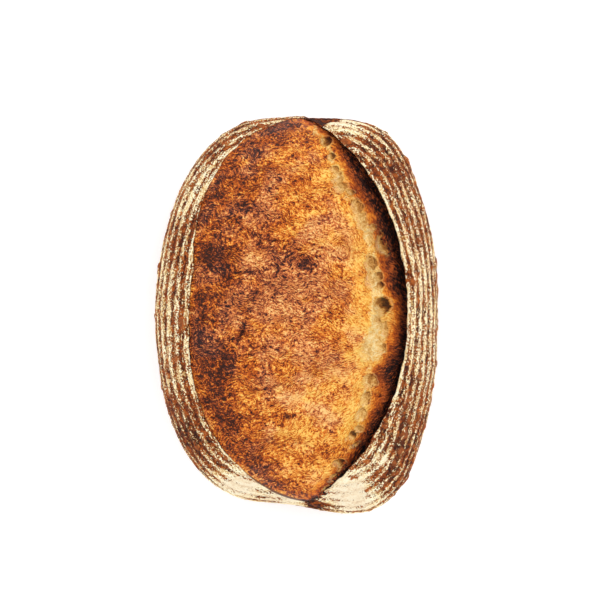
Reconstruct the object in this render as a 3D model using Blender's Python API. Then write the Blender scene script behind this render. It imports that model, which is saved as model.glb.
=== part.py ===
"""Sourdough loaf: a broad oval loaf, slashed once along its length before baking.

The slash opened into a wide bloom. Its left edge lies close to the bloom, and its right edge
lifted into an overhanging ear. The loaf is one baked piece, so it is one closed solid.

Frame: metres, +Z up, the loaf's length along Y, the ear on the +X side. The origin is the
middle of the flat base. Blender 4.5: blender --background --python part.py
"""

import math

import bpy
import numpy as np
from mathutils import Vector, noise

MM = 0.001

# Driving dimensions of the whole loaf.
LENGTH = 240 * MM
WIDTH = 170 * MM
HEIGHT = 97 * MM

# The plain body, before the slash.
WIDEST_HEIGHT = 0.37 * HEIGHT
CRUST_CROWN = 0.95 * HEIGHT
CROWN_POWER = 2.25
SQUARENESS_MEAN = 2.4
SQUARENESS_TO_EAR = 0.2
BASE_INSET = 0.25 * WIDTH / 2
BELLY_POWER = 2.05
# The four places where the outline leaves a plain oval: direction and spread in degrees.
SHOULDERS = (
    {"direction": 66, "spread": 14, "height": 7.0 * MM},
    {"direction": 114, "spread": 14, "height": 2.0 * MM},
    {"direction": -65, "spread": 15, "height": 7.5 * MM},
    {"direction": -94, "spread": 18, "height": -7.5 * MM},
)

# The slash, in plan. Its two tips, then how each edge bows out from the line between them.
LOW_TIP = (0.055 * WIDTH / 2, -0.910 * LENGTH / 2)
HIGH_TIP = (0.060 * WIDTH / 2, 0.986 * LENGTH / 2)
LEFT, RIGHT = -1, 1
REACH = {LEFT: 0.815 * WIDTH / 2, RIGHT: 0.730 * WIDTH / 2}
EDGE_POWER = {LEFT: 2.6, RIGHT: 2.0}
EDGE_ROUND_LOW = {LEFT: 1.6, RIGHT: 1.35}
EDGE_ROUND_HIGH = {LEFT: 2.1, RIGHT: 1.4}

# The lips of the slash: how far each overhangs the bloom, stands up, and drops to the crease.
OVERHANG = {LEFT: 0.8 * MM, RIGHT: 7.5 * MM}
LIFT = {LEFT: 0.5 * MM, RIGHT: 6.0 * MM}
CREASE_DEPTH = {LEFT: 1.6 * MM, RIGHT: 11.0 * MM}
LIP_THICKNESS = {LEFT: 1.2 * MM, RIGHT: 2.8 * MM}
LEAST_LIP = 0.12
LIFT_FADE = 14 * MM

# The bloom between the lips.
BLOOM_LINE_POWER = 2.4
BLOOM_FULLNESS = 0.92

# Uneven rising: size of the lumps on the top, and how far they stand up or sink.
LUMP_SIZE = 62 * MM
LUMP_HEIGHT = 3.0 * MM
LUMP_SEED = Vector((3.1, 7.4, 1.8))

# Mesh density.
ROWS = 46
BLOOM_STEPS = 18
CRUST_STEPS = 7
BELLY_STEPS = 7

CRUST_COLOUR = (0.30, 0.13, 0.055, 1.0)
CRUST_ROUGHNESS = 0.75


def smooth_step(value):
    value = np.clip(value, 0.0, 1.0)
    return value * value * (3 - 2 * value)


def outline_radius(angle):
    """Distance from the middle of the loaf to its widest line, seen from above."""
    power = SQUARENESS_MEAN + SQUARENESS_TO_EAR * np.cos(angle)
    across = np.abs(np.cos(angle) / (WIDTH / 2)) ** power
    along = np.abs(np.sin(angle) / (LENGTH / 2)) ** power
    radius = (across + along) ** (-1 / power)
    for shoulder in SHOULDERS:
        turn = angle - math.radians(shoulder["direction"])
        away = np.angle(np.exp(1j * turn), deg=True) / shoulder["spread"]
        radius = radius + shoulder["height"] * np.exp(-(away**2))
    return radius


def crust_height(share):
    """Height of the body's top, by the share of the way out to the widest line."""
    dome = np.clip(1 - np.clip(share, 0, 1) ** CROWN_POWER, 0, 1) ** 0.5
    return WIDEST_HEIGHT + (CRUST_CROWN - WIDEST_HEIGHT) * dome


def bloom_line_height(y):
    """Height of the bloom's ridge along the loaf."""
    share = np.clip(np.abs(y) / (LENGTH / 2), 0, 1)
    return WIDEST_HEIGHT + (HEIGHT - WIDEST_HEIGHT) * np.sqrt(1 - share**BLOOM_LINE_POWER)


def slash_edge(along, side):
    """Plan position of one edge of the slash. along runs from 0 at the low tip to 1."""
    share = -np.cos(np.pi * along)
    tip_x = (HIGH_TIP[0] + LOW_TIP[0] + (HIGH_TIP[0] - LOW_TIP[0]) * share) / 2
    y = (HIGH_TIP[1] + LOW_TIP[1] + (HIGH_TIP[1] - LOW_TIP[1]) * share) / 2
    rounding = np.where(share > 0, EDGE_ROUND_HIGH[side], EDGE_ROUND_LOW[side])
    bow = np.clip(1 - np.abs(share) ** EDGE_POWER[side], 0, 1) ** (1 / rounding)
    return tip_x + side * REACH[side] * bow, y


def evenly_spaced(curve, count):
    """count points spread evenly along a curve of (out, up) points, its first one left out."""
    steps = np.hypot(*np.diff(curve, axis=0).T)
    distance = np.concatenate([[0], np.cumsum(steps)])
    places = np.linspace(0, distance[-1], count + 1)[1:]
    return np.stack([np.interp(places, distance, curve[:, i]) for i in (0, 1)], axis=1)


def lip_strength(along):
    """How much of a lip stands at this place along the slash: all of it except at the tips."""
    return np.maximum(smooth_step(4.0 * along) * smooth_step(5.0 * (1 - along)), LEAST_LIP)


def side_profile(edge_radius, outer_radius, side, strength):
    """(distance from the middle, height) points from the crease, over the lip, to the base."""
    room = outer_radius - edge_radius
    overhang = min(OVERHANG[side] * strength, 0.4 * room)
    thickness = min(LIP_THICKNESS[side] * strength, 0.5 * room)
    lift = LIFT[side] * strength
    depth = CREASE_DEPTH[side] * strength
    edge_height = crust_height(edge_radius / outer_radius)
    lip = [
        (edge_radius + overhang, edge_height - depth),
        (edge_radius + 0.45 * overhang, edge_height + lift - thickness - 0.55 * depth),
        (edge_radius + 0.10 * overhang, edge_height + lift - thickness),
        (edge_radius - 0.30 * thickness, edge_height + lift - 0.45 * thickness),
        (edge_radius + 0.40 * thickness, edge_height + lift),
    ]
    turn = np.linspace(0, np.pi / 2, 60)
    out = lip[-1][0] + (outer_radius - lip[-1][0]) * np.sin(turn)
    fade = np.exp(-((out - edge_radius) / LIFT_FADE) ** 2) * np.cos(turn)
    crust = np.stack([out, crust_height(out / outer_radius) + lift * fade], axis=1)
    crust[0] = lip[-1]
    shape = 2 / BELLY_POWER
    belly = np.stack(
        [
            outer_radius - BASE_INSET * (1 - np.cos(turn).clip(0) ** shape),
            WIDEST_HEIGHT * (1 - np.sin(turn) ** shape),
        ],
        axis=1,
    )
    return np.vstack(
        [lip, evenly_spaced(crust, CRUST_STEPS), evenly_spaced(belly, BELLY_STEPS)]
    )


def side_rings():
    """Points [ring, column, xyz]. Ring 0 runs round the crease, and the last round the base.

    The columns go up the right edge of the slash to its high tip and down the left edge.
    """
    along = np.arange(ROWS + 1) / ROWS
    places = [(share, RIGHT) for share in along] + [(share, LEFT) for share in along[-2:0:-1]]
    columns = []
    for share, side in places:
        x, y = slash_edge(share, side)
        angle = math.atan2(y, x)
        profile = side_profile(
            math.hypot(x, y), outline_radius(angle), side, lip_strength(share)
        )
        columns.append(
            np.stack(
                [
                    profile[:, 0] * math.cos(angle),
                    profile[:, 0] * math.sin(angle),
                    profile[:, 1],
                ],
                axis=1,
            )
        )
    return np.array(columns).transpose(1, 0, 2)


def bloom_row(left, right):
    """Points across the bloom from one side of the crease to the other, both ends included."""
    u = np.linspace(0, 1, BLOOM_STEPS + 1)[:, None]
    row = left * (1 - u) + right * u
    chord = (left[2] + right[2]) / 2
    rise = max(float(bloom_line_height((left[1] + right[1]) / 2)) - chord, 0.0)
    row[:, 2] += rise * (4 * u[:, 0] * (1 - u[:, 0])) ** BLOOM_FULLNESS
    return row


def loaf_mesh_data():
    """(points, faces) of the whole loaf."""
    rings = side_rings()
    ring_count, column_count = rings.shape[:2]
    points = list(rings.reshape(-1, 3))

    def ring_point(ring, column):
        return ring * column_count + column % column_count

    faces = [
        (
            ring_point(ring, column),
            ring_point(ring + 1, column),
            ring_point(ring + 1, column + 1),
            ring_point(ring, column + 1),
        )
        for ring in range(ring_count - 1)
        for column in range(column_count)
    ]
    faces.append([ring_point(ring_count - 1, c) for c in reversed(range(column_count))])

    rows = [[ring_point(0, 0)] * (BLOOM_STEPS + 1)]
    for row in range(1, ROWS):
        right, left = ring_point(0, row), ring_point(0, -row)
        inner = bloom_row(points[left], points[right])[1:-1]
        rows.append([left, *range(len(points), len(points) + len(inner)), right])
        points.extend(inner)
    rows.append([ring_point(0, ROWS)] * (BLOOM_STEPS + 1))
    for low, high in zip(rows, rows[1:]):
        for i in range(BLOOM_STEPS):
            corners = (low[i], low[i + 1], high[i + 1], high[i])
            faces.append(list(dict.fromkeys(corners)))
    return np.array(points), faces


def with_lumps(points):
    """The points with the top raised and sunk a little, as dough rises unevenly."""
    swell = np.array([noise.noise(Vector(p) / LUMP_SIZE + LUMP_SEED) for p in points])
    share = smooth_step((points[:, 2] - WIDEST_HEIGHT) / (HEIGHT - WIDEST_HEIGHT))
    lumpy = points.copy()
    lumpy[:, 2] += 2 * LUMP_HEIGHT * swell * share
    return lumpy


def fitted(points):
    """The points scaled and shifted so that the loaf has its driving size and its origin."""
    low, high = points.min(axis=0), points.max(axis=0)
    size = np.array([WIDTH, LENGTH, HEIGHT])
    middle_of_base = np.array([(low[0] + high[0]) / 2, (low[1] + high[1]) / 2, low[2]])
    return (points - middle_of_base) * size / (high - low)


def crust_material():
    material = bpy.data.materials.new("crust")
    material.use_nodes = True
    shader = material.node_tree.nodes["Principled BSDF"]
    shader.inputs["Base Color"].default_value = CRUST_COLOUR
    shader.inputs["Roughness"].default_value = CRUST_ROUGHNESS
    shader.inputs["Metallic"].default_value = 0.0
    return material


def main():
    for old in list(bpy.data.objects):
        bpy.data.objects.remove(old)
    points, faces = loaf_mesh_data()
    mesh = bpy.data.meshes.new("loaf")
    mesh.from_pydata(fitted(with_lumps(points)), [], faces)
    mesh.materials.append(crust_material())
    mesh.shade_smooth()
    mesh.set_sharp_from_angle(angle=math.radians(50))
    bpy.context.scene.collection.objects.link(bpy.data.objects.new("loaf", mesh))


main()
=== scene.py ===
# Sourdough loaf: the finely shaped crust and bloom that stand in for the CAD model's plain solid.
# The mesh is worked out in millimetres and made in metres. The loaf's length lies along Y, and the
# ear, which is the lifted edge of the slash, is on the +X side.

import math

import bpy
import numpy as np
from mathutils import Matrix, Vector, noise


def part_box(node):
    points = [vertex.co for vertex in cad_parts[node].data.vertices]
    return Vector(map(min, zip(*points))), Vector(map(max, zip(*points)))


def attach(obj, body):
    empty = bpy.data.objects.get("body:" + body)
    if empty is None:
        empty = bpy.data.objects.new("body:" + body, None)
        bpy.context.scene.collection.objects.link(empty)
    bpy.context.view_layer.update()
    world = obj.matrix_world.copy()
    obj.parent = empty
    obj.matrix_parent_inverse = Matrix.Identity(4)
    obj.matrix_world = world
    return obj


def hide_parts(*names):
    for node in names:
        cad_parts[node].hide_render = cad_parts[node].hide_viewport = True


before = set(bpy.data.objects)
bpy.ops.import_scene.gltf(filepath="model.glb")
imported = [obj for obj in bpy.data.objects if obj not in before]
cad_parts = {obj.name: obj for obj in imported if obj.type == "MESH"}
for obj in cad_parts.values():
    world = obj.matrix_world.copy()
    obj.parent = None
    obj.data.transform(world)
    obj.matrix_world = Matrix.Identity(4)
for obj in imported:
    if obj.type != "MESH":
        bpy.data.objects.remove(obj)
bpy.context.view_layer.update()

MM = 0.001
low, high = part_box("loaf")
WIDTH, LENGTH, HEIGHT = (np.array(high) - np.array(low)) / MM
HALF_WIDTH, HALF_LENGTH = WIDTH / 2, LENGTH / 2

# ---------------------------------------------------------------- the plain body
# The height of the widest line, and of the crust's crown, where it would be with no slash.
WIDEST_HEIGHT = 0.37 * HEIGHT
CRUST_CROWN = 0.95 * HEIGHT
CROWN_POWER = 2.25
SQUARENESS_MEAN = 2.4
SQUARENESS_TO_EAR = 0.2
BASE_INSET = 0.25 * HALF_WIDTH
BELLY_POWER = 2.05
# Where the outline leaves a plain oval: direction and spread in degrees, and height.
SHOULDERS = ((66, 14, 7.0), (114, 14, 2.0), (-65, 15, 7.5), (-94, 18, -7.5))

# ---------------------------------------------------------------- the slash
# The two tips in plan, then pairs of values: the left edge's, and the right edge's, the ear.
LOW_TIP = (0.055 * HALF_WIDTH, -0.910 * HALF_LENGTH)
HIGH_TIP = (0.060 * HALF_WIDTH, 0.986 * HALF_LENGTH)
LEFT, RIGHT = 0, 1
# How far each edge bows out from the line between the tips, and the shape of its bow.
REACH = np.array([-0.815, 0.730]) * HALF_WIDTH
EDGE_POWER = np.array([2.6, 2.0])
EDGE_ROUND_LOW = np.array([1.6, 1.35])
EDGE_ROUND_HIGH = np.array([2.1, 1.4])
# How far each lip overhangs the bloom, stands up, and drops to the crease under it.
OVERHANG = np.array([0.8, 7.5])
LIFT = np.array([0.5, 6.0])
CREASE_DEPTH = np.array([1.6, 11.0])
LIP_THICKNESS = np.array([1.2, 2.4])
# The share of the lip that is left at the tips, and how far back from the edge the lift reaches.
LEAST_LIP = 0.12
LIFT_FADE = 14.0
# How the bloom's ridge falls towards the tips, and how full the bloom is across.
BLOOM_LINE_POWER = 2.4
BLOOM_FULLNESS = 0.92
# The most that the bloom rises over its chord, as a share of its width.
STEEPEST_BLOOM = 0.33
# How much lower the top is towards the two ends, as a share of its height over the widest line.
END_DROP = 0.20

# ---------------------------------------------------------------- mesh density
ROWS = 280
BLOOM_STEPS = 108
LIP_STEPS = 7
CRUST_STEPS = 58
BELLY_STEPS = 30
BASE_STEPS = 14
# Points worked out along each curve of the profile, before they are spaced evenly.
CURVE_SAMPLES = 90

# ---------------------------------------------------------------- uneven rising and the rings
LUMP_SIZE = 62
LUMP_HEIGHT = 5.0
LUMP_SEED = 0.18
# Distance over the crust from one ring of the proofing basket to the next.
RING_PITCH = 7.6
# Distance between the finer lines that run beside the lip, where the skin stretched.
STRETCH_PITCH = 2.9


def smooth_step(value, start, end):
    """0 below start, 1 above end, and a smooth step between."""
    value = np.clip((value - start) / (end - start), 0.0, 1.0)
    return value * value * (3 - 2 * value)


def turn_from(angle, degrees):
    """How far each angle lies from a direction, in degrees from -180 to 180."""
    return np.angle(np.exp(1j * (angle - math.radians(degrees))), deg=True)


def turned(across, along, degrees):
    """Offsets across and along, measured on axes turned by this many degrees."""
    c, s = math.cos(math.radians(degrees)), math.sin(math.radians(degrees))
    return c * across + s * along, c * along - s * across


def read_off(table, at):
    """The table's later columns, interpolated at places given in its first column."""
    places, *columns = zip(*table)
    return [np.interp(at, places, column) for column in columns]


def running_total(steps):
    """How far along its column each point lies, from the steps between the points."""
    return np.concatenate([np.zeros((len(steps), 1)), np.cumsum(steps, axis=1)], axis=1)


def bell(value, middle, reach):
    """1 at the middle, falling smoothly to 0 on both sides over about reach."""
    return np.exp(-(((value - middle) / reach) ** 2))


def lumps(points, size, seed, octaves=1):
    """Smooth noise, about -1 to 1, at each point. size is one number, or one for each axis."""
    shifted = points / np.array(size) + np.array([17.3, 5.1, 9.7]) * seed
    return np.array([noise.fractal(Vector(p), 1.0, 2.0, octaves) for p in shifted])


def outline_radius(angle):
    """Distance from the middle of the loaf to its widest line, seen from above."""
    power = SQUARENESS_MEAN + SQUARENESS_TO_EAR * np.cos(angle)
    across = np.abs(np.cos(angle) / HALF_WIDTH) ** power
    along = np.abs(np.sin(angle) / HALF_LENGTH) ** power
    radius = (across + along) ** (-1 / power)
    for direction, spread, height in SHOULDERS:
        radius = radius + height * bell(turn_from(angle, direction), 0, spread)
    return radius


def crust_height(share):
    """Height of the body's top, by the share of the way out to the widest line."""
    dome = np.clip(1 - np.clip(share, 0, 1) ** CROWN_POWER, 0, 1) ** 0.5
    return WIDEST_HEIGHT + (CRUST_CROWN - WIDEST_HEIGHT) * dome


def bloom_line_height(y):
    """Height of the bloom's ridge along the loaf."""
    share = np.clip(np.abs(y) / HALF_LENGTH, 0, 1)
    return WIDEST_HEIGHT + (HEIGHT - WIDEST_HEIGHT) * np.sqrt(1 - share**BLOOM_LINE_POWER)


def slash_edge(along, side):
    """Plan position of the slash's edges. along runs from 0 at the low tip to 1."""
    share = -np.cos(np.pi * along)
    tip_x = (HIGH_TIP[0] + LOW_TIP[0] + (HIGH_TIP[0] - LOW_TIP[0]) * share) / 2
    y = (HIGH_TIP[1] + LOW_TIP[1] + (HIGH_TIP[1] - LOW_TIP[1]) * share) / 2
    rounding = np.where(share > 0, EDGE_ROUND_HIGH[side], EDGE_ROUND_LOW[side])
    bow = np.clip(1 - np.abs(share) ** EDGE_POWER[side], 0, 1) ** (1 / rounding)
    return tip_x + REACH[side] * bow, y


def evenly_spaced(curve, count):
    """count points spread evenly along a curve of (out, up) points, its first one left out."""
    distance = np.concatenate([[0], np.cumsum(np.hypot(*np.diff(curve, axis=0).T))])
    places = np.linspace(0, distance[-1], count + 1)[1:]
    return np.stack([np.interp(places, distance, curve[:, i]) for i in (0, 1)], axis=1)


def side_profile(edge_radius, outer_radius, side, strength):
    """(out, up) points from the crease, over the lip and the crust, to the middle of the base."""
    room = outer_radius - edge_radius
    overhang = min(OVERHANG[side] * strength, 0.4 * room)
    thickness = min(LIP_THICKNESS[side] * strength, 0.5 * room)
    lift = LIFT[side] * strength
    depth = CREASE_DEPTH[side] * strength
    edge_height = crust_height(edge_radius / outer_radius)
    under = np.array(
        [
            (edge_radius + overhang, edge_height - depth),
            (edge_radius + 0.90 * overhang, edge_height + lift - thickness - 0.88 * depth),
            (edge_radius + 0.45 * overhang, edge_height + lift - thickness - 0.50 * depth),
            (edge_radius + 0.10 * overhang, edge_height + lift - thickness),
            (edge_radius - 0.25 * thickness, edge_height + lift - 0.75 * thickness),
            (edge_radius - 0.32 * thickness, edge_height + lift - 0.45 * thickness),
            (edge_radius - 0.05 * thickness, edge_height + lift - 0.12 * thickness),
            (edge_radius + 0.40 * thickness, edge_height + lift),
        ]
    )
    turn = np.linspace(0, np.pi / 2, CURVE_SAMPLES)
    out = under[-1, 0] + (outer_radius - under[-1, 0]) * np.sin(turn)
    fade = bell(out, edge_radius, LIFT_FADE) * np.cos(turn)
    crust = np.stack([out, crust_height(out / outer_radius) + lift * fade], axis=1)
    crust[0] = under[-1]
    shape = 2 / BELLY_POWER
    belly = np.stack(
        [
            outer_radius - BASE_INSET * (1 - np.cos(turn).clip(0) ** shape),
            WIDEST_HEIGHT * (1 - np.sin(turn) ** shape),
        ],
        axis=1,
    )
    base = np.linspace([outer_radius - BASE_INSET, 0], [0, 0], BASE_STEPS + 1)[1:-1]
    return np.vstack(
        [under, evenly_spaced(crust, CRUST_STEPS), evenly_spaced(belly, BELLY_STEPS), base]
    )


# ================================================================ the loaf's mesh
along = np.arange(ROWS + 1) / ROWS
column_along = np.concatenate([along, along[-2:0:-1]])
column_side = np.array([RIGHT] * (ROWS + 1) + [LEFT] * (ROWS - 1))
COLUMNS = len(column_along)

edge_x = np.empty(COLUMNS)
edge_y = np.empty(COLUMNS)
for side in (LEFT, RIGHT):
    here = column_side == side
    edge_x[here], edge_y[here] = slash_edge(column_along[here], side)
angles = np.arctan2(edge_y, edge_x)
outward = np.stack([np.cos(angles), np.sin(angles)], axis=1)
outer = outline_radius(angles)
# The lips stand at full strength except near the two tips.
full_strength = smooth_step(column_along, 0, 0.25) * smooth_step(1 - column_along, 0, 0.2)
strength = np.maximum(full_strength, LEAST_LIP)
# The edges are ragged, and the lips stand up unevenly along them.
edge_points = np.stack([edge_x, edge_y, np.zeros(COLUMNS)], axis=1)
on_right = column_side == RIGHT
ragged = np.where(on_right, 0.9, 1.1) * lumps(edge_points, 9, 3, 3)
wavy = 0.25 * lumps(edge_points, 34, 4) + 0.25 * bell(edge_y, 35, 38) - 0.1
# Both edges lean in a little further than the plain one, most of all at the middle of the loaf.
lean_in = np.where(on_right, 1.1 + bell(edge_y, 20, 32), 1.3 + 2.0 * bell(edge_y, 28, 26))
edge_radius = np.hypot(edge_x, edge_y) + smooth_step(strength, 0.1, 0.5) * (ragged - lean_in)
profiles = np.array(
    [
        side_profile(edge_radius[i], outer[i], column_side[i], strength[i] * (1 + wavy[i]))
        for i in range(COLUMNS)
    ]
)
RINGS = profiles.shape[1]
rings = np.concatenate(
    [profiles[:, :, :1] * outward[:, None, :], profiles[:, :, 1:]], axis=2
).transpose(1, 0, 2)

steps = np.linalg.norm(np.diff(profiles, axis=1), axis=2)
travelled = running_total(steps).T
WIDEST_RING = LIP_STEPS + CRUST_STEPS
BASE_RING = WIDEST_RING + BELLY_STEPS
above_widest = travelled[WIDEST_RING] - travelled

# The bloom: rows from the left crease to the right one. u is the share of the way across.
u = np.linspace(0, 1, BLOOM_STEPS + 1)[1:-1]
right_end = rings[0, 1:ROWS]
left_end = rings[0, -1:-ROWS:-1]
bloom = left_end[:, None] * (1 - u)[None, :, None] + right_end[:, None] * u[None, :, None]
chord = (left_end[:, 2] + right_end[:, 2]) / 2
rise = np.maximum(bloom_line_height((left_end[:, 1] + right_end[:, 1]) / 2) - chord, 0)
steepest = STEEPEST_BLOOM * (right_end[:, 0] - left_end[:, 0])
rise = rise / (1 + (rise / steepest) ** 4) ** 0.25
bloom[:, :, 2] += rise[:, None] * ((4 * u * (1 - u)) ** BLOOM_FULLNESS)[None]

ring_count = RINGS * COLUMNS
bloom_count = bloom.shape[0] * bloom.shape[1]
centre = ring_count + bloom_count
points = np.vstack([rings.reshape(-1, 3), bloom.reshape(-1, 3), [[0, 0, 0]]])
on_bloom = np.zeros(len(points), bool)
on_bloom[ring_count:centre] = True

faces = []
for ring in range(RINGS - 1):
    for column in range(COLUMNS):
        a, b = ring * COLUMNS + column, ring * COLUMNS + (column + 1) % COLUMNS
        faces.append((a, a + COLUMNS, b + COLUMNS, b))
last = (RINGS - 1) * COLUMNS
faces += [(last + (c + 1) % COLUMNS, last + c, centre) for c in range(COLUMNS)]
row_points = [[0] * (BLOOM_STEPS + 1)]
for row in range(1, ROWS):
    start = ring_count + (row - 1) * len(u)
    row_points.append([COLUMNS - row, *range(start, start + len(u)), row])
row_points.append([ROWS] * (BLOOM_STEPS + 1))
for lower, upper in zip(row_points, row_points[1:]):
    for i in range(BLOOM_STEPS):
        corners = (lower[i], lower[i + 1], upper[i + 1], upper[i])
        faces.append(tuple(dict.fromkeys(corners)))

# The box of the CAD model, and its origin, before any fine detail.
span = points.max(axis=0) - points.min(axis=0)
middle = (points.max(axis=0) + points.min(axis=0)) / 2
middle[2] = 0
points = (points - middle) * np.array([WIDTH, LENGTH, HEIGHT]) / span

# The dough rises unevenly, and less towards the ends.
swell = lumps(points, LUMP_SIZE, LUMP_SEED)
points[:, 2] += LUMP_HEIGHT * swell * smooth_step(points[:, 2], WIDEST_HEIGHT, HEIGHT)
over = np.maximum(points[:, 2] - WIDEST_HEIGHT, 0)
over = over * (1 - END_DROP * (points[:, 1] / HALF_LENGTH) ** 2)
over *= (HEIGHT - WIDEST_HEIGHT) / over.max()
points[:, 2] = np.minimum(points[:, 2], WIDEST_HEIGHT) + over

# ================================================================ masks
# Each mask is one number for every point. Distances are in millimetres. A mask that has a meaning
# on the bloom only is given a number below its range elsewhere.
x, y, z = points.T
ring_of = np.full(len(points), -1)
ring_of[:ring_count] = np.repeat(np.arange(RINGS), COLUMNS)
# The crust's look starts just under the edge of the lip.
crust = (ring_of >= LIP_STEPS - 2).astype(float)

ear_x = np.interp(y, edge_y[: ROWS + 1], edge_x[: ROWS + 1])
left_x = np.interp(y, edge_y[ROWS:][::-1], edge_x[ROWS:][::-1])
# How wide the golden strip beside the ear is, at shares of the way along the slash.
STRIP_WIDTH = (
    (0, 0.2), (0.06, 0.3), (0.13, 0.62), (0.25, 0.85), (0.5, 1), (0.75, 0.9), (0.89, 0.65),
    (0.95, 0.4), (1, 0.3),
)
share_along = np.clip((y - LOW_TIP[1]) / (HIGH_TIP[1] - LOW_TIP[1]), 0, 1)
(strip_width,) = read_off(STRIP_WIDTH, share_along)
stray = 6.0 * lumps(points, 18, 5, 2) + 2.2 * lumps(points, 5, 6, 2)
plain_gap = ear_x - x
ear_gap = np.where(on_bloom, plain_gap / strip_width + stray, -1.0)
from_left = np.where(on_bloom, x - left_x, -1.0)

# The places of spots are measured a little astray, so that their outlines are uneven.
stray_x = x + 3.0 * lumps(points, 20, 22, 2)
stray_y = y + 3.0 * lumps(points, 20, 23, 2)


def spots(places):
    """Soft round spots, each (x, y, reach across, reach along, turn in degrees, height)."""
    total = np.zeros(len(points))
    for at_x, at_y, across, lengthwise, turn, height in places:
        dx, dy = turned(stray_x - at_x, stray_y - at_y, turn)
        total += height * np.exp(-((dx / across) ** 2) - (dy / lengthwise) ** 2)
    return total


def everywhere(ring_values):
    """Values worked out on the rings, made up to one for every point with zeros."""
    return np.concatenate([ring_values.reshape(-1), np.zeros(len(points) - ring_count)])


# Where the bloom is darker and lighter: partly as it baked, and partly painted shade and painted
# light for how the light falls across it.
DARK_AND_SHADED_PATCHES = (
    (4, 30, 9, 6, -20, 0.18),
    (20, 27, 14, 4, -20, 0.12),
    (-46, 32, 10, 8, 0, 0.45),
    (-42, 22, 8, 11, 0, 0.35),
    (-36, 13, 7, 7, 0, 0.5),
    (-38, 35, 6, 5, 0, 0.25),
    (-44, 1, 9, 4, 0, 0.25),
    (4.5, 28.5, 7, 4, -20, 0.12),
    (-42, -30, 11, 12, 0, 0.5),
    (-30, -18, 12, 6, 30, 0.14),
    (-12, 12, 16, 12, 0, 0.2),
    (-14, 52, 13, 6, 0, 0.35),
    (-36, 58, 10, 12, 0, 0.25),
    (-22, -72, 16, 12, -30, 0.25),
    (-6, -59, 4, 2.5, 0, 0.35),
    (14, 96, 11, 10, 0, 0.45),
    (35, 67, 6, 10, 0, 0.6),
    (-19, 71, 8, 6, 0, 0.35),
    (-19, 98, 8, 6, 0, 0.2),
    (-22, -33, 18, 7, 0, 0.25),
    (-19, -53, 7, 5, 0, 0.2),
    (46, 40, 5, 8, 0, 0.4),
    (45, -36, 5, 12, 0, 0.6),
    (24, -76, 10, 9, -30, 0.45),
    (20, -95, 8, 7, 0, 0.35),
    (-13, -87, 10, 8, 0, 0.3),
    (-5, -99, 8, 5, 0, 0.3),
)
LIGHT_AND_LIT_PATCHES = (
    (30, 0, 8, 18, 0, 0.55),
    (44, -12, 7, 13, 0, 0.4),
    (18, -58, 22, 28, -25, 0.38),
    (-4, -45, 16, 12, 0, 0.25),
    (2, -96, 14, 9, 0, 0.3),
    (5, 72, 18, 24, 0, 0.22),
    (-28, 33, 5, 4, 0, 0.35),
    (26, 41, 6, 8, 0, 0.5),
    (11, 38, 9, 4, -10, 0.32),
    (-6, 46, 10, 5, 0, 0.36),
    (27, -26, 6, 8, 0, 0.3),
    (-2, -46, 5, 4, 0, 0.2),
    (-45, 66, 8, 14, 0, 0.15),
    (5, 3, 9, 9, 0, 0.24),
    (-62, 12, 5, 12, 0, 0.12),
    (-9, -65, 6, 4, 0, 0.45),
)
toast_and_painted_light = spots(DARK_AND_SHADED_PATCHES) - spots(LIGHT_AND_LIT_PATCHES)
# Where the bloom is more orange (above 0) or rosier.
AMBER_PATCHES = (
    (-14, 8, 20, 26, 0, -0.8),
    (-40, -50, 18, 30, 20, 0.9),
    (-50, 30, 12, 40, 0, 0.6),
    (10, 75, 20, 26, 0, 0.6),
    (5, -80, 30, 24, 0, 0.6),
)

# Creases that run in arcs: the arc's centre, half width and half height, where its middle lies
# and half its length in degrees, half its breadth, and how deep it is.
# The bloom is also painted darker along the creases, as their shade.
CREASES = (
    (6.2, 28.2, 4.4, 1.6, 150, 170, 0.6, 0.9),
    (4.2, 29.0, 7.0, 4.6, 120, 95, 0.6, 0.9),
    (4.2, 29.0, 7.0, 4.6, -30, 50, 0.6, 0.7),
    (4.0, 28.0, 11.5, 8.0, 110, 75, 0.7, 0.7),
    (4.0, 26.0, 17.0, 12.0, 75, 50, 0.8, 0.6),
    (4.0, 22.0, 25.0, 19.0, 55, 35, 1.0, 0.5),
    (-14.0, 26.0, 3.4, 3.0, 60, 150, 0.7, 0.7),
    (-29.0, 20.0, 9.5, 5.5, 85, 80, 0.8, 0.9),
    (-29.0, 19.0, 14.0, 9.5, 70, 50, 0.8, 0.5),
    (-80.0, 10.0, 53.0, 53.0, -22, 9, 0.8, 1.2),
    (-13.0, 60.0, 20.0, 17.0, -95, 18, 0.8, 0.8),
    (-20.0, -30.0, 16.0, 12.0, -80, 45, 0.8, 0.7),
    (-6.0, -66.0, 12.0, 9.0, 70, 50, 0.7, 0.6),
    (-24.0, -66.0, 16.0, 12.0, 20, 40, 0.7, 0.5),
    (-35.0, 40.0, 14.0, 10.0, 30, 40, 0.8, 0.5),
    (-20.0, 92.0, 22.0, 10.0, 80, 35, 0.7, 0.5),
    (16.0, -20.0, 18.0, 14.0, 160, 35, 0.8, 0.4),
    (27.0, 38.0, 3.4, 5.4, 0, 170, 0.5, 0.5),
    (10.0, 60.0, 14.0, 16.0, 200, 40, 0.7, 0.4),
)
crease_lines = np.zeros(len(points))
bent_x = x + 1.2 * lumps(points, 11, 26, 2)
bent_y = y + 1.2 * lumps(points, 11, 27, 2)
for at_x, at_y, half_width, half_height, faces_to, half_length, breadth, depth in CREASES:
    dx, dy = (bent_x - at_x) / half_width, (bent_y - at_y) / half_height
    off_line = (np.hypot(dx, dy) - 1) * min(half_width, half_height)
    along_line = np.exp(-((turn_from(np.arctan2(dy, dx), faces_to) / half_length) ** 4))
    crease_lines = np.maximum(crease_lines, depth * along_line * bell(off_line, 0, breadth))

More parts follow.
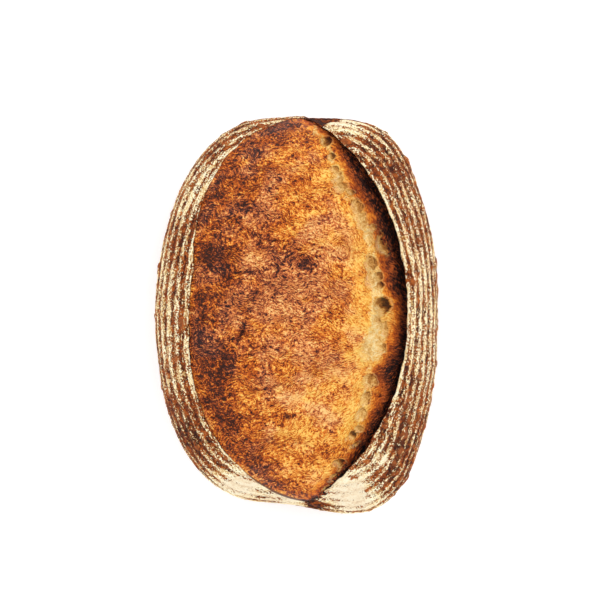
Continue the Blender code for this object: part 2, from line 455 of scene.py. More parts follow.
# The strokes of the bloom run along the level lines of these two fields: down to the right over
# the upper half, up to the right over the lower half, and round each whorl.
lean = 0.25 * (x + 30) + 0.02 * np.maximum(x - 5, 0) ** 2
flow = y + lean * np.tanh((y + 18) / 28)
flow += 8.0 * lumps(points, 24, 30) + 4.6 * lumps(points, 8.5, 31, 2)
# Each whorl is (x, y, reach across, reach along).
WHORLS = (
    (4.2, 29.0, 11, 8),
    (-14.0, 26.0, 6, 5),
    (-29.0, 18.0, 13, 8),
    (-12.0, -62.0, 12, 8),
    (-20.0, -28.0, 14, 10),
    (27.0, 38.0, 5, 8),
    (-36.0, 44.0, 10, 8),
    (12.0, -18.0, 12, 9),
)
for at_x, at_y, across, lengthwise in WHORLS:
    away = np.hypot((x - at_x) / across, (y - at_y) / lengthwise)
    in_whorl = bell(away, 0, 1)
    flow = flow * (1 - in_whorl) + (at_y + away * lengthwise * 1.4) * in_whorl
# A second set of strokes wanders off the first and crosses it.
cross_flow = flow + 8.0 * lumps(points, 10, 32, 2)

# How far the char under the ear reaches in from it, at places along the loaf.
CHAR_REACH = (
    (-106, 1.0), (-95, 3.5), (-75, 5.4), (-60, 7.0), (-45, 7.0), (-40, 8.0), (-36, 12.0),
    (-31, 13.5), (-27, 10.0), (-22, 8.0), (-15, 8.5), (-8, 6.5), (0, 5.0), (10, 7.5),
    (14, 11.5), (19.5, 14.0), (30, 13.0), (36, 10.5), (41, 9.0), (46, 11.0), (52, 12.5),
    (58, 11.0), (66, 11.5), (75, 13.0), (85, 11.0), (92, 9.0), (98, 6.5), (104, 3.5),
)
(char_reach,) = read_off(CHAR_REACH, y)
char_stray = 1.3 * lumps(points, 7, 24, 2)
char_gap = np.where(on_bloom, plain_gap - char_reach + char_stray, -5.0)
# Bumps that stand out of the char with a red-brown face.
BUMPS = (
    (56.7, 26.7, 3.0, 4.4, 0, 1.0),
    (58.5, 8, 2.5, 4.5, 0, 0.6),
    (57, -14, 2.5, 6, 0, 0.6),
    (50.5, -43, 5.0, 5.5, 0, 0.7),
    (29.4, -83, 3.4, 3.4, 0, 0.8),
    (48, 66, 2.4, 4.5, 25, 0.6),
    (38, 84, 2.4, 5, 30, 0.6),
)
bump_face = spots(BUMPS)

# The ribbon of torn crumb beside the ear: place along the loaf, its middle and half its width.
RIBBON = (
    (-106, 15.5, 0.6), (-97, 21, 1.2), (-88, 24.5, 1.4), (-79, 30, 0.6), (-71, 33, 0.6),
    (-57, 37, 1.2), (-48, 40, 1.8), (-38, 42, 2.0), (-30, 43, 2.0), (-20, 45, 5.2),
    (-3, 46.5, 4.8), (6, 47.5, 4.8), (19, 45.5, 3.8), (30, 44, 3.4), (40, 44, 3.0),
    (52, 39, 3.0), (64, 34.5, 2.6), (75, 27, 3.0), (86, 22.5, 2.4), (93, 20.5, 2.0),
    (102, 17, 2.4), (110, 11, 1.6),
)
ribbon_middle, ribbon_half = read_off(RIBBON, y)
ribbon_stray = 1.8 * lumps(points, 8, 25, 2)
from_middle = np.abs(x + ribbon_stray - ribbon_middle)
ribbon = np.where(on_bloom, ribbon_half + 0.8 - from_middle, -9.0)

# Bubbles torn open beside the ear: middle, half lengths, turn in degrees, and how deep each is and
# how much painted shade lies inside it.
BUBBLES = (
    (17.6, 103, 3.6, 2.7, 0, 1.8),
    (20.7, 93.4, 2.2, 1.9, 0, 1.7),
    (21.8, 85.7, 2.6, 1.9, 0, 1.0),
    (23.8, 82.4, 3.0, 1.7, 15, 0.8),
    (24.3, 78.9, 3.2, 1.7, 10, 0.7),
    (25.6, 74.3, 3.8, 2.8, 0, 0.8),
    (32.1, 71.2, 2.0, 1.8, 0, 1.4),
    (34.7, 63, 3.2, 3.2, 0, 1.0),
    (35.4, 57.3, 3.6, 2.4, 0, 0.5),
    (37.4, 52.4, 3.0, 2.2, 20, 0.5),
    (44.3, 50.7, 2.6, 1.6, 20, 0.9),
    (41.5, 45.5, 2.2, 3.6, 15, 0.5),
    (50.2, 41.4, 3.9, 5.6, 15, 1.2),
    (43, 29.6, 3.9, 4.7, 0, 0.9),
    (48, 22.4, 2.4, 2.1, 0, 1.3),
    (47.8, 17.1, 2.7, 2.6, 0, 1.6),
    (42.6, 19.6, 3.0, 4.0, 0, 0.4),
    (50, 5.4, 4.4, 4.8, 0, 1.9),
    (46.8, -4.5, 2.4, 4.0, 0, 0.6),
    (51.4, -8, 1.6, 4.4, 0, 0.7),
    (45.5, -17, 4.4, 6.5, 0, 0.2),
    (51, -19.5, 1.5, 3.0, 0, 1.0),
    (39.8, -21, 3.0, 4.8, 0, 0.5),
    (41.5, -38.5, 2.6, 4.2, -15, 1.0),
    (44.5, -38, 1.6, 2.6, 0, 0.9),
    (39.8, -48.5, 2.6, 4.6, -10, 0.9),
    (37, -57.5, 2.4, 3.8, -25, 0.6),
    (36.6, -66, 1.8, 2.6, -35, 0.8),
    (31.8, -70.6, 3.8, 1.5, 40, 1.6),
    (34.3, -76, 2.8, 1.5, 38, 1.1),
    (24.5, -87, 4.2, 2.3, 10, 1.7),
    (21.4, -95.5, 4.2, 1.8, 35, 1.0),
    (17, -102.5, 3.2, 1.5, 30, 0.9),
)
warp_x = x + 1.3 * lumps(points, 6, 20, 2)
warp_y = y + 1.3 * lumps(points, 6, 21, 2)
# bubble_away is 1 on the rim of the nearest bubble and less inside it.
FAR_FROM_BUBBLES = 4.0
BUBBLE_SCALE = 1.12
bubble_away = np.full(len(points), FAR_FROM_BUBBLES)
bubble_shade = np.zeros(len(points))
hollow = np.zeros(len(points))
for at_x, at_y, across, lengthwise, turn, depth_and_shade in BUBBLES:
    dx, dy = warp_x - at_x, warp_y - at_y
    own_x, own_y = turned(dx, dy, turn)
    away = np.hypot(own_x / across, own_y / lengthwise) / BUBBLE_SCALE
    # The side of a bubble towards the ear is the deep one, and gets painted shade.
    deep_shaded_side = smooth_step(0.85 * dx / across + 0.45 * dy / lengthwise, -0.7, 1.05)
    bubble_shade = np.where(away < bubble_away, depth_and_shade * deep_shaded_side, bubble_shade)
    bubble_away = np.minimum(bubble_away, away)
    bowl = np.clip(1 - away**2, 0, 1) ** 0.6
    depth = bowl * min(across, lengthwise) * (0.28 + 0.35 * depth_and_shade)
    hollow = np.maximum(hollow, depth * on_bloom)
    # The rim stands up a little.
    hollow -= 0.45 * bell(away, 1.08, 0.16) * on_bloom
bubble_away[~on_bloom] = FAR_FROM_BUBBLES

# The crust's skin turns over the end of the loaf at this line, and no flour lies beyond it.
RIM_PEAK_X, RIM_PEAK_Y = 31, 117
end_rim = RIM_PEAK_Y - ((x - RIM_PEAK_X) / np.where(x < RIM_PEAK_X, 6.9, 9.6)) ** 2
over_end = smooth_step(y - end_rim, -0.5, 0.7) * smooth_step(x, 4, 8) * smooth_step(y, 90, 100)

# Where flour lies thicker and thinner than elsewhere on the crust.
FLOUR_PATCHES = (
    (-34, -100, 26, 12, 30, 0.9),
    (-8, -112, 22, 9, 8, 0.9),
    (34, -106, 18, 13, -35, 0.95),
    (34, -113, 14, 6, -12, 0.5),
    (46, -90, 8, 12, -30, 0.25),
    (-64, -84, 6, 9, 30, 0.3),
    (30, 112, 14, 5, -12, 0.5),
    (-58, 76, 9, 16, -30, 0.45),
    (47, -78, 5, 15, -30, 0.3),
    (51, -85, 2.6, 2.6, 0, 0.7),
    (76, 0, 9, 34, 0, 0.36),
    (-76, 0, 8, 30, 0, 0.25),
)
BARE_PATCHES = (
    (11, -112.5, 7, 3.4, -12, 1.9),
    (52, -96, 8, 8, -30, 0.35),
    (62, -78, 10, 14, -25, 0.25),
    (-66, -72, 9, 18, 25, 0.45),
    (58, 92, 12, 14, 0, 0.2),
)
# The patches fade out down the sides.
fading = smooth_step(z + 10 * lumps(points, 22, 28, 2), 12, 60)
flour = (spots(FLOUR_PATCHES) - spots(BARE_PATCHES)) * fading - 2.5 * over_end
flour += 0.35 * bell(y - end_rim, -1.5, 2.2) * smooth_step(y, 98, 106) * (x > 6)

# ================================================================ fine shape
mesh = bpy.data.meshes.new("loaf_crust")
mesh.from_pydata(points * MM, [], faces)
mesh.update()
normals = np.empty(len(points) * 3)
mesh.vertex_normals.foreach_get("vector", normals)
normals = normals.reshape(-1, 3)

# Small holes and tears in the bloom.
PITS = (
    (6.5, 28.5, 3.6, 1.3, -35, 1.7),
    (-60.5, 34, 1.1, 4, 0, 1.6),
    (-5.8, -58.3, 2.6, 1.5, -35, 2.2),
    (-1, -73, 1.6, 1.2, 40, 1.2),
    (-51.6, -46, 1.4, 1.4, 0, 1.6),
    (-31, -8, 1.3, 4.5, 25, 1.3),
    (-52, -1, 3.0, 1.2, -35, 1.3),
    (-13, 43.5, 3.6, 1.0, -15, 1.2),
    (49.1, -45.1, 1.3, 1.5, 0, 2.2),
    (41.2, -30.3, 4.4, 1.1, 35, 0.9),
)
pit = spots(PITS)

# How far each point moves out along its normal: the bloom's shape, then the crust's.
bloom_shape = (
    1.1 * lumps(points, 36, 7)
    + 0.55 * lumps(points, (13, 10, 13), 8, 2)
    + 0.30 * lumps(points, (7, 3.2, 5), 9, 2)
    - pit
    - hollow
    - 0.7 * crease_lines
    + 0.8 * bump_face
    + 0.7 * lumps(points, 4.5, 10, 2) * (1 - smooth_step(char_gap, -2, 4))
)
bloom_margin = smooth_step(from_left, 0, 3)

# The flour rings lie at equal steps over the crust, and wander a little.
drift = 2.4 * lumps(points, 40, 11) + 0.9 * lumps(points, 9, 12, 2)
ring_place = everywhere(above_widest) + drift
from_lip = everywhere(travelled - travelled[LIP_STEPS - 1])
ridge = np.cos(2 * np.pi * ring_place / RING_PITCH)
# Blisters of bare skin that stand out of the ear's side.
BLISTERS = (
    (63, -70, 2.4, 3.2, -20, 0.4),
    (61, -79, 2.4, 2.6, 0, 0.4),
    (66, -62, 2.0, 3.0, -15, 0.3),
    (57, -87, 2.0, 2.4, 0, 0.3),
    (72, 44, 1.8, 3.2, 10, 0.3),
)
blister = np.maximum(lumps(points, 9, 13, 2) - 0.32, 0) + spots(BLISTERS) * ~on_bloom
crust_shape = (
    ridge * (0.30 + 0.22 * lumps(points, 26, 29))
    + 2.2 * blister
    + 0.7 * lumps(points, 24, 14)
    + 0.22 * lumps(points, 3.2, 15, 2)
    - 1.3 * over_end
)
clear_of_base = smooth_step(z, 1.0, 9.0)
lip_margin = smooth_step(ring_of, LIP_STEPS - 1, LIP_STEPS + 5)
moved = np.where(on_bloom, bloom_shape * bloom_margin, crust_shape * clear_of_base * lip_margin)
moved[ring_of >= BASE_RING] = 0
points = points + normals * moved[:, None]
points[:, 2] = np.maximum(points[:, 2], 0)

mesh.vertices.foreach_set("co", (points * MM).ravel())
mesh.update()
mesh.shade_smooth()

masks = {
    "crust": crust,
    "ear_gap": ear_gap,
    "char_gap": char_gap,
    "from_left": from_left,
    "toast_and_painted_light": toast_and_painted_light,
    "crease": crease_lines,
    "amber": spots(AMBER_PATCHES),
    "bump_face": bump_face,
    "blister": blister,
    "ribbon": ribbon,
    "flour": flour,
    "bubble_away": bubble_away,
    "bubble_shade": bubble_shade,
    "flow": flow,
    "cross_flow": cross_flow,
    "pit": np.where(on_bloom, pit, 0),
    "ring_place": ring_place,
    "from_lip": from_lip,
    "height": points[:, 2],
}
for name, values in masks.items():
    mesh.attributes.new(name, "FLOAT", "POINT").data.foreach_set("value", values)

# Where each point lies round the loaf and across the rings, for flour flakes drawn out lengthways.
widest = rings[WIDEST_RING, :, :2]
spans = np.linalg.norm(np.roll(widest, -1, axis=0) - widest, axis=1)
round_radius = spans.sum() / (2 * np.pi)
round_angle = np.concatenate([[0], np.cumsum(spans)[:-1]]) / round_radius
round_angle = np.tile(round_angle, RINGS)
flake_place = np.zeros((len(points), 3))
flake_place[:ring_count, 0] = np.cos(round_angle) * round_radius
flake_place[:ring_count, 1] = np.sin(round_angle) * round_radius
flake_place[:, 2] = ring_place
made = mesh.attributes.new("flake_place", "FLOAT_VECTOR", "POINT")
made.data.foreach_set("vector", (flake_place * MM).ravel())

# The map for textures: the bloom as seen from above, the rings laid out round it, and the base
# on its own in a corner. Hidden and lower rings take less room than their true breadth. The
# margin round it all is MAP_EDGE millimetres.
LIP_SHARE, BELLY_SHARE, BASE_SHARE = 0.6, 0.6, 0.42
MAP_EDGE = 2
ring_share = np.ones(RINGS - 1)
ring_share[: LIP_STEPS - 1] = LIP_SHARE
ring_share[WIDEST_RING:] = BELLY_SHARE
laid_out = np.linalg.norm(rings[0, :, :2], axis=1)[:, None] + running_total(steps * ring_share)
ring_map = laid_out[:, :, None] * outward[:, None, :]
top_map = np.zeros((len(points), 2))
top_map[:ring_count] = ring_map.transpose(1, 0, 2).reshape(-1, 2)
top_map[ring_count:centre] = bloom[:, :, :2].reshape(-1, 2)
used = top_map[(ring_of <= BASE_RING) & (ring_of >= 0)]
map_size = np.ptp(used, axis=0).max() + 2 * MAP_EDGE
top_map = (top_map - (used.min(axis=0) + used.max(axis=0)) / 2) / map_size + 0.5
base_map = points[:, :2] * np.array([-1, 1]) * BASE_SHARE
base_map = (base_map - base_map[ring_of >= BASE_RING].min(axis=0) + MAP_EDGE) / map_size

corner_point = np.empty(len(mesh.loops), np.int32)
mesh.loops.foreach_get("vertex_index", corner_point)
face_size = np.empty(len(mesh.polygons), np.int32)
mesh.polygons.foreach_get("loop_total", face_size)
face_of_corner = np.repeat(np.arange(len(face_size)), face_size)
on_base = (face_of_corner >= BASE_RING * COLUMNS) & (face_of_corner < RINGS * COLUMNS)
corner_map = np.where(on_base[:, None], base_map[corner_point], top_map[corner_point])
texture_map = mesh.uv_layers.new(name="OFBake")
texture_map.uv.foreach_set("vector", corner_map.astype(np.float32).ravel())

loaf = bpy.data.objects.new("loaf_crust", mesh)
bpy.context.scene.collection.objects.link(loaf)

# ================================================================ material
SPECULAR = 0.12
BUMP_STRENGTH = 0.8
BUMP_DEPTH = 0.9

material = bpy.data.materials.new("baked_crust")
material.use_nodes = True
tree = material.node_tree
shader = tree.nodes["Principled BSDF"]


def node(kind, **settings):
    """A new shader node with these settings."""
    made = tree.nodes.new("ShaderNode" + kind)
    for key, value in settings.items():
        setattr(made, key, value)
    return made


def feed(socket, value):
    """Joins a socket to a value, which is a Num, another socket or a plain constant."""
    if isinstance(value, Num):
        value = value.socket
    if isinstance(value, bpy.types.NodeSocket):
        tree.links.new(value, socket)
    else:
        socket.default_value = value


class Num:
    """A number worked out by nodes. Arithmetic on it adds Math nodes."""

    def __init__(self, socket):
        self.socket = socket

    def __add__(self, other):
        return calc("ADD", self, other)

    def __sub__(self, other):
        return calc("SUBTRACT", self, other)

    def __rsub__(self, other):
        return calc("SUBTRACT", other, self)

    def __mul__(self, other):
        return calc("MULTIPLY", self, other)

    __radd__ = __add__
    __rmul__ = __mul__


def calc(operation, *values):
    """A number worked out by a Math node."""
    made = node("Math", operation=operation)
    for socket, value in zip(made.inputs, values):
        feed(socket, value)
    return Num(made.outputs[0])


def ease(value, start, end):
    """0 below start, 1 above end, and a smooth step between. end may be below start."""
    made = node("MapRange", interpolation_type="SMOOTHSTEP")
    for name, given in (("Value", value), ("From Min", start), ("From Max", end)):
        feed(made.inputs[name], given)
    return Num(made.outputs[0])


def mask(name):
    """One of the mesh's masks."""
    return Num(node("Attribute", attribute_name=name).outputs["Fac"])


def vector_calc(operation, *values):
    """A vector worked out by a Vector Math node."""
    made = node("VectorMath", operation=operation)
    for socket, value in zip(made.inputs, values):
        feed(socket, value)
    return made.outputs[0]


def scaled(vector, factor):
    """The vector times a number."""
    made = node("VectorMath", operation="SCALE")
    feed(made.inputs[0], vector)
    feed(made.inputs["Scale"], factor)
    return made.outputs[0]


def noise_node(vector, size, detail, rough):
    """A noise texture whose features are about size millimetres across."""
    made = node("TexNoise")
    feed(made.inputs["Vector"], vector)
    feed(made.inputs["Scale"], 1 / (size * MM))
    feed(made.inputs["Detail"], detail)
    feed(made.inputs["Roughness"], rough)
    return made


def grain(vector, size, detail=2.0, rough=0.5):
    """A noise from 0 to 1 with its middle at 0.5."""
    return Num(noise_node(vector, size, detail, rough).outputs["Fac"])


def swing(value, amount):
    """A grain turned into a swing to both sides of 0."""
    return (value - 0.5) * amount


def bent(vector, size, reach, detail=1.0):
    """The vector strayed by up to about reach millimetres, smoothly over size millimetres."""
    stray = noise_node(vector, size, detail, 0.5).outputs["Color"]
    centred = vector_calc("SUBTRACT", stray, (0.5, 0.5, 0.5))
    return vector_calc("ADD", vector, scaled(centred, 2 * reach * MM))


def along_flow(vector, field, lengthways):
    """Coordinates in which a noise is drawn out along the level lines of a field."""
    split = node("SeparateXYZ")
    feed(split.inputs[0], scaled(bent(vector, 4, 1.4, 2.0), lengthways))
    joined = node("CombineXYZ")
    feed(joined.inputs["X"], split.outputs["X"])
    feed(joined.inputs["Y"], split.outputs["Y"])
    feed(joined.inputs["Z"], mask(field) * MM)
    return bent(joined.outputs[0], 2.2, 0.7)


def winding(value, breadth):
    """1 on the winding lines where a grain passes its middle, and 0 away from them."""
    return ease(calc("ABSOLUTE", value - 0.5), breadth, 0.0)


def tone(red, green, blue):
    """A colour given as it looks on a screen, 0 to 255, as the linear colour nodes use."""
    def linear(value):
        value /= 255
        return value / 12.92 if value <= 0.04045 else ((value + 0.055) / 1.055) ** 2.4

    return (linear(red), linear(green), linear(blue), 1.0)


def ramp(value, *stops):
    """Colours at places along 0 to 1, given as (place, colour)."""
    made = node("ValToRGB")
    feed(made.inputs[0], value)
    elements = made.color_ramp.elements
    while len(elements) < len(stops):
        elements.new(0.5)
    for element, (position, colour) in zip(elements, stops):
        element.position = position
        element.color = colour
    return made.outputs[0]


def mix(share, first, second):
    """A colour between two, with share of the second."""
    made = node("Mix", data_type="RGBA")
    feed(made.inputs[0], share)
    feed(made.inputs[6], first)
    feed(made.inputs[7], second)
    return made.outputs[2]


place = node("TexCoord").outputs["Object"]

# Bloom: fine strokes of torn, curled skin, with winding wrinkles between them.
STROKE_SIZE = 0.98
strokes = grain(along_flow(place, "flow", 0.42), STROKE_SIZE, 3.0, 0.62)
cross_strokes = grain(along_flow(place, "cross_flow", 0.50), STROKE_SIZE, 3.0, 0.62)
mottle = grain(bent(place, 15, 5), 11, 4.0, 0.62)
knots = grain(bent(place, 6, 2.5), 3.6, 2.0, 0.55)
blotch = grain(place, 34, 2.0, 0.5)
hue = grain(bent(place, 20, 6), 16, 2.0, 0.5)
fine = grain(place, 0.75, 1.0)
flowing = bent(bent(place, 24, 8), 7, 3.0, 2.0)
wrinkle_space = vector_calc("MULTIPLY", flowing, (0.6, 1.0, 0.8))
wrinkles = winding(grain(wrinkle_space, 2.3, 1.0), 0.055)
long_wrinkles = winding(grain(wrinkle_space, 5.5, 1.0), 0.03)

golden = ease(mask("ear_gap") + swing(mottle, 30), 46, 26)
toast_and_light_level = mask("toast_and_painted_light")
from_left_edge = mask("from_left")
# How well done the bloom is, from 0 for pale to 1 for nearly black.
done = (
    0.42
    + swing(strokes, 2.0)
    + swing(cross_strokes, 1.8)
    + swing(knots, 0.4)
    # Painted shade: darker along the wrinkles and the creases.
    + wrinkles * 0.12
    + long_wrinkles * 0.18
    + mask("crease") * 0.56
    + swing(mottle, 1.3)
    + swing(fine, 0.8)
    + swing(blotch, 0.5)
    # Toasting, with painted shade and painted light, from the patches.
    + toast_and_light_level * 0.62
    - golden * 0.22
    # Painted shade: the bloom is darker within about 36 mm of its left edge, the side away from
    # the key light.
    + ease(from_left_edge, 36, 4) * 0.26
    - ease(from_left_edge, 8, 1) * 0.20
)
rosy_colour = ramp(
    done,
    (0.00, tone(250, 200, 128)),
    (0.22, tone(235, 156, 88)),
    (0.42, tone(208, 116, 60)),
    (0.60, tone(164, 80, 46)),
    (0.80, tone(100, 50, 36)),
    (1.00, tone(46, 26, 26)),
)
amber_colour = ramp(
    done,
    (0.00, tone(252, 200, 100)),
    (0.22, tone(238, 150, 54)),
    (0.42, tone(212, 108, 32)),
    (0.60, tone(170, 74, 22)),
    (0.80, tone(112, 46, 18)),
    (1.00, tone(54, 24, 14)),
)
bloom_colour = mix(ease(hue + mask("amber") * 0.2, 0.38, 0.62), rosy_colour, amber_colour)
golden_colour = ramp(
    done + 0.16,
    (0.00, tone(253, 210, 108)),
    (0.28, tone(246, 176, 72)),
    (0.52, tone(236, 142, 44)),
    (0.78, tone(196, 90, 28)),
    (1.00, tone(112, 48, 24)),
)
bloom_colour = mix(golden * 0.85, bloom_colour, golden_colour)

# Beside the ear: pale crumb in the torn ribbon, its bubbles with painted shade, an orange edge,
# and the char, made darker by painted shade of the ear.
scorch = grain(bent(place, 7, 3), 4.0, 4.0, 0.7)
char = mask("char_gap") + swing(scorch, 15) + swing(strokes, 8) + swing(knots, 8)
orange = ease(char, 7.0, 4.0)
orange_colour = ramp(
    0.44
    + toast_and_light_level * 0.35
    + swing(strokes, 1.6)
    + swing(cross_strokes, 0.6)
    + swing(knots, 0.9)
    # Painted shade along the wrinkles.
    + wrinkles * 0.12
    + ease(char, 4.0, 1.0) * 0.22,
    (0.22, tone(246, 164, 62)),
    (0.42, tone(228, 122, 36)),
    (0.62, tone(176, 74, 24)),
    (0.80, tone(112, 44, 22)),
)
bloom_colour = mix(orange * 0.95, bloom_colour, orange_colour)
crumb_grain = grain(bent(place, 4, 1.5), 2.2, 3.0, 0.65)
threads = winding(grain(bent(place, 5, 2.5), 3.0, 1.0), 0.05)
crumb_colour = ramp(
    0.22
    + toast_and_light_level * 0.45
    + swing(crumb_grain, 1.3)
    + swing(strokes, 1.1)
    + swing(fine, 0.5)
    - threads * 0.2,
    (0.00, tone(254, 230, 168)),
    (0.22, tone(248, 200, 112)),
    (0.44, tone(232, 162, 68)),
    (0.66, tone(202, 118, 40)),
    (0.90, tone(136, 70, 28)),
)
ribbon_depth = mask("ribbon")
in_ribbon = (
    ribbon_depth * 0.26
    - 0.32
    + swing(crumb_grain, 1.6)
    + swing(knots, 2.2)
    + swing(mottle, 1.6)
)
open_crumb = ease(in_ribbon, -0.15, 0.45) * ease(ribbon_depth, -2.5, 0.5) * 0.85
bloom_colour = mix(open_crumb, bloom_colour, crumb_colour)
# Painted shade in the bubbles: pale on the side away from the ear, darker towards the ear side and
# the rim, nearly black in the deepest holes.
bubble_edge = mask("bubble_away") + swing(crumb_grain, 0.3) + swing(fine, 0.1)
shade = mask("bubble_shade")
bubble = ease(bubble_edge, 1.06, 0.92) * ease(shade, -0.25, 0.45)
wall = ease(calc("ABSOLUTE", bubble_edge - 1.14), 0.16, 0.02)
bloom_colour = mix(wall * ease(shade, 0.0, 0.6) * 0.25, bloom_colour, tone(252, 214, 136))
bubble_shaded_colour = ramp(
    0.10
    + shade * 0.52
    + swing(crumb_grain, 0.9)
    + swing(fine, 0.5)
    + ease(bubble_edge, 0.78, 0.98) * 0.10,
    (0.00, tone(255, 230, 176)),
    (0.22, tone(234, 188, 114)),
    (0.46, tone(192, 132, 62)),
    (0.70, tone(124, 72, 30)),
    (0.95, tone(42, 24, 15)),
)
bloom_colour = mix(bubble * 0.94, bloom_colour, bubble_shaded_colour)
# The char beside the ear, with painted shade of the ear's lip that makes it darker towards the
# lip.
charred = ease(char, 0.5, -0.5)
char_and_lip_shade_colour = ramp(
    0.58
    + swing(strokes, 2.0)
    + swing(cross_strokes, 1.4)
    + swing(scorch, 1.0)
    - mask("bump_face") * 0.35
    # Painted shade: darker towards the ear's lip.
    - ease(mask("char_gap"), -6.0, 1.0) * 0.14,
    (0.15, tone(200, 98, 42)),
    (0.30, tone(140, 64, 34)),
    (0.44, tone(74, 36, 26)),
    (0.58, tone(40, 24, 22)),
    (0.78, tone(22, 15, 16)),
)
bloom_colour = mix(charred, bloom_colour, char_and_lip_shade_colour)
# Painted shadow, with some charred skin, in the line under the left lip, and painted shade inside
# the pits.
left_lip_shadow_and_char = ease(from_left_edge + swing(strokes, 2.5), 1.6, 0.2)
bloom_colour = mix(left_lip_shadow_and_char * 0.8, bloom_colour, tone(60, 34, 28))
deep = ease(mask("pit") + swing(fine, 0.8), 0.6, 1.7)
bloom_colour = mix(deep * 0.8, bloom_colour, tone(66, 34, 28))

# Crust: bare brown skin under flour that lies in rings and flakes off in specks.
lip_distance = mask("from_lip")
rings_wave = calc("COSINE", mask("ring_place") * (2 * math.pi / RING_PITCH))
stretch_lines = calc("COSINE", lip_distance * (2 * math.pi / STRETCH_PITCH))
speck = grain(bent(place, 3, 0.8), 1.15, 2.0, 0.6)
round_place = node("Attribute", attribute_name="flake_place").outputs["Vector"]
drawn_out = vector_calc("MULTIPLY", bent(round_place, 6, 1.5), (0.32, 0.32, 1.0))
flake = grain(drawn_out, 2.4, 3.0, 0.62)
patch = grain(place, 15, 2.0, 0.5)
cracks = winding(grain(bent(place, 4, 1.6), 3.4, 2.0, 0.55), 0.035)
point_height = mask("height")
flour_amount = mask("flour")
on_lip = ease(lip_distance, 2.2, 0.8)
# How much flour lies on the crust. About 0.6 and more is covered.
dusting = (
    0.405
    + rings_wave * 0.25
    + swing(speck, 2.3)
    + swing(flake, 1.4)
    + swing(patch, 0.8)
    + flour_amount * 0.75
    - mask("blister") * 0.5
    - cracks * 0.26
    + on_lip * ((patch - 0.38) * 1.8 + swing(speck, 1.2))
    + stretch_lines * ease(lip_distance, 13, 5) * 0.16
    - ease(point_height, 46, 20) * 0.35
)
floured = ease(dusting, 0.47, 0.72)
skin_colour = ramp(
    grain(bent(place, 8, 3), 3.6, 3.0, 0.6)
    + swing(speck, 0.7)
    + ease(flour_amount, 0.0, -0.35) * 0.08,
    (0.22, tone(196, 110, 44)),
    (0.42, tone(146, 68, 26)),
    (0.56, tone(84, 37, 19)),
    (0.70, tone(36, 18, 13)),
)
flour_colour = ramp(
    flake + swing(fine, 0.7),
    (0.40, tone(255, 249, 216)),
    (0.54, tone(248, 227, 178)),
    (0.68, tone(208, 164, 100)),
    (0.84, tone(146, 94, 46)),
)
flour_colour = mix(ease(flour_amount, 0.35, 0.9) * 0.6, flour_colour, tone(232, 214, 190))
raised = mask("blister") + swing(speck, 0.15)
skin_colour = mix(ease(raised, 0.06, 0.26) * 0.5, skin_colour, tone(186, 104, 54))
# Painted shade in a thin ring at the foot of each blister; the cracks are the skin's own darker
# lines in the flour.
blister_foot_shade = ease(calc("ABSOLUTE", raised - 0.07), 0.07, 0.01)
cracks_and_foot_shade = calc("MAXIMUM", cracks * 0.6, blister_foot_shade * 0.6)
# The foot of the loaf stays paler, and so does the skin at the edges of the flour.
pale_foot = ease(point_height + swing(flake, 20), 22, 2)
skin_colour = mix(pale_foot * 0.6, skin_colour, tone(178, 112, 60))
skin_colour = mix(ease(dusting, 0.34, 0.54) * 0.7, skin_colour, tone(196, 124, 48))
skin_colour = mix(cracks_and_foot_shade, skin_colour, tone(52, 28, 22))
crust_colour = mix(floured, skin_colour, flour_colour)

on_crust = mask("crust")
feed(shader.inputs["Base Color"], mix(on_crust, bloom_colour, crust_colour))
bloom_rough = 0.52 + charred * 0.25 - swing(strokes, 0.3)
feed(shader.inputs["Roughness"], bloom_rough + on_crust * (floured * 0.25 + 0.08))
shader.inputs["Specular IOR Level"].default_value = SPECULAR

bloom_relief = (
    1.0
    - strokes * 0.9
    - cross_strokes * 0.35
    - wrinkles * 0.3
    - long_wrinkles * 0.35
    + open_crumb * (crumb_grain * 0.8 + threads * 0.3 - 0.5)
    + (wall - bubble * 0.6) * 0.5
)
crust_relief = speck * 0.35 + flake * 0.45 + floured * 0.25
relief = (1 - on_crust) * bloom_relief + on_crust * crust_relief + fine * 0.12
bump = node("Bump")
bump.inputs["Strength"].default_value = BUMP_STRENGTH
bump.inputs["Distance"].default_value = BUMP_DEPTH * MM
feed(bump.inputs["Height"], relief)
feed(shader.inputs["Normal"], bump.outputs[0])
mesh.materials.append(material)

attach(loaf, "root")
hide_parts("loaf")

# ================================================================ floor, light and camera
# Half the floor's side in metres, and how far it lies under the loaf, so that they don't touch.
FLOOR_REACH = 3.0
FLOOR_DROP = 0.2 * MM
FLOOR_GREY = 0.93
FLOOR_GLOW = 0.3
WHITE = (1, 1, 1, 1)

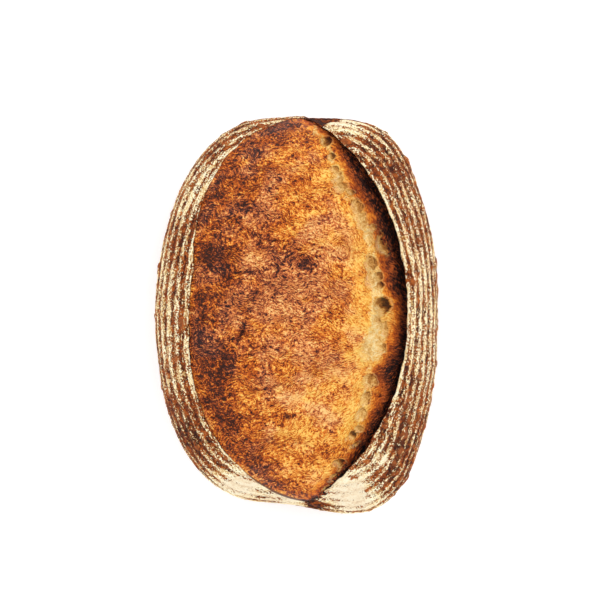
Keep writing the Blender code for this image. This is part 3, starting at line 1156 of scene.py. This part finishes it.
floor_mesh = bpy.data.meshes.new("floor")
floor_corners = [(-1, -1), (1, -1), (1, 1), (-1, 1)]
floor_mesh.from_pydata(
    [(FLOOR_REACH * right, FLOOR_REACH * up, 0) for right, up in floor_corners],
    [],
    [(0, 1, 2, 3)],
)
floor = bpy.data.objects.new("floor", floor_mesh)
floor.location.z = -FLOOR_DROP
floor_material = bpy.data.materials.new("pale_floor")
floor_material.use_nodes = True
floor_shader = floor_material.node_tree.nodes["Principled BSDF"]
floor_shader.inputs["Base Color"].default_value = (FLOOR_GREY, FLOOR_GREY, FLOOR_GREY, 1)
floor_shader.inputs["Roughness"].default_value = 0.9
floor_shader.inputs["Emission Color"].default_value = WHITE
floor_shader.inputs["Emission Strength"].default_value = FLOOR_GLOW
floor_mesh.materials.append(floor_material)
bpy.context.scene.collection.objects.link(floor)

world = bpy.data.worlds.new("studio")
world.use_nodes = True
background = world.node_tree.nodes["Background"]
background.inputs["Color"].default_value = WHITE
background.inputs["Strength"].default_value = 1.0
bpy.context.scene.world = world


def area_light(name, position, size, watts):
    """A square light that faces the loaf. Places and sizes are in metres."""
    light = bpy.data.lights.new(name, "AREA")
    light.size = size
    light.energy = watts
    lamp = bpy.data.objects.new(name, light)
    lamp.location = position
    lamp.rotation_euler = (-Vector(position)).to_track_quat("-Z", "Y").to_euler()
    bpy.context.scene.collection.objects.link(lamp)


area_light("key", position=(0.75, 0.7, 1.2), size=0.9, watts=5)
area_light("fill", position=(-0.9, -0.3, 1.1), size=1.2, watts=2.5)

# The camera looks straight down, from a little to one side of the loaf's middle. FIELD is how
# much of the widest line's level it takes in, from side to side.
LENS = 100.0
SENSOR = 36.0
FIELD = 363.6 * MM
CAMERA_X, CAMERA_Y = 2.1 * MM, 8.8 * MM
camera_data = bpy.data.cameras.new("camera")
camera_data.lens = LENS
camera_data.sensor_width = SENSOR
camera = bpy.data.objects.new("camera", camera_data)
camera.location = (CAMERA_X, CAMERA_Y, FIELD * LENS / SENSOR + WIDEST_HEIGHT * MM)
bpy.context.scene.collection.objects.link(camera)
bpy.context.scene.camera = camera
bpy.context.scene.view_settings.view_transform = "Standard"
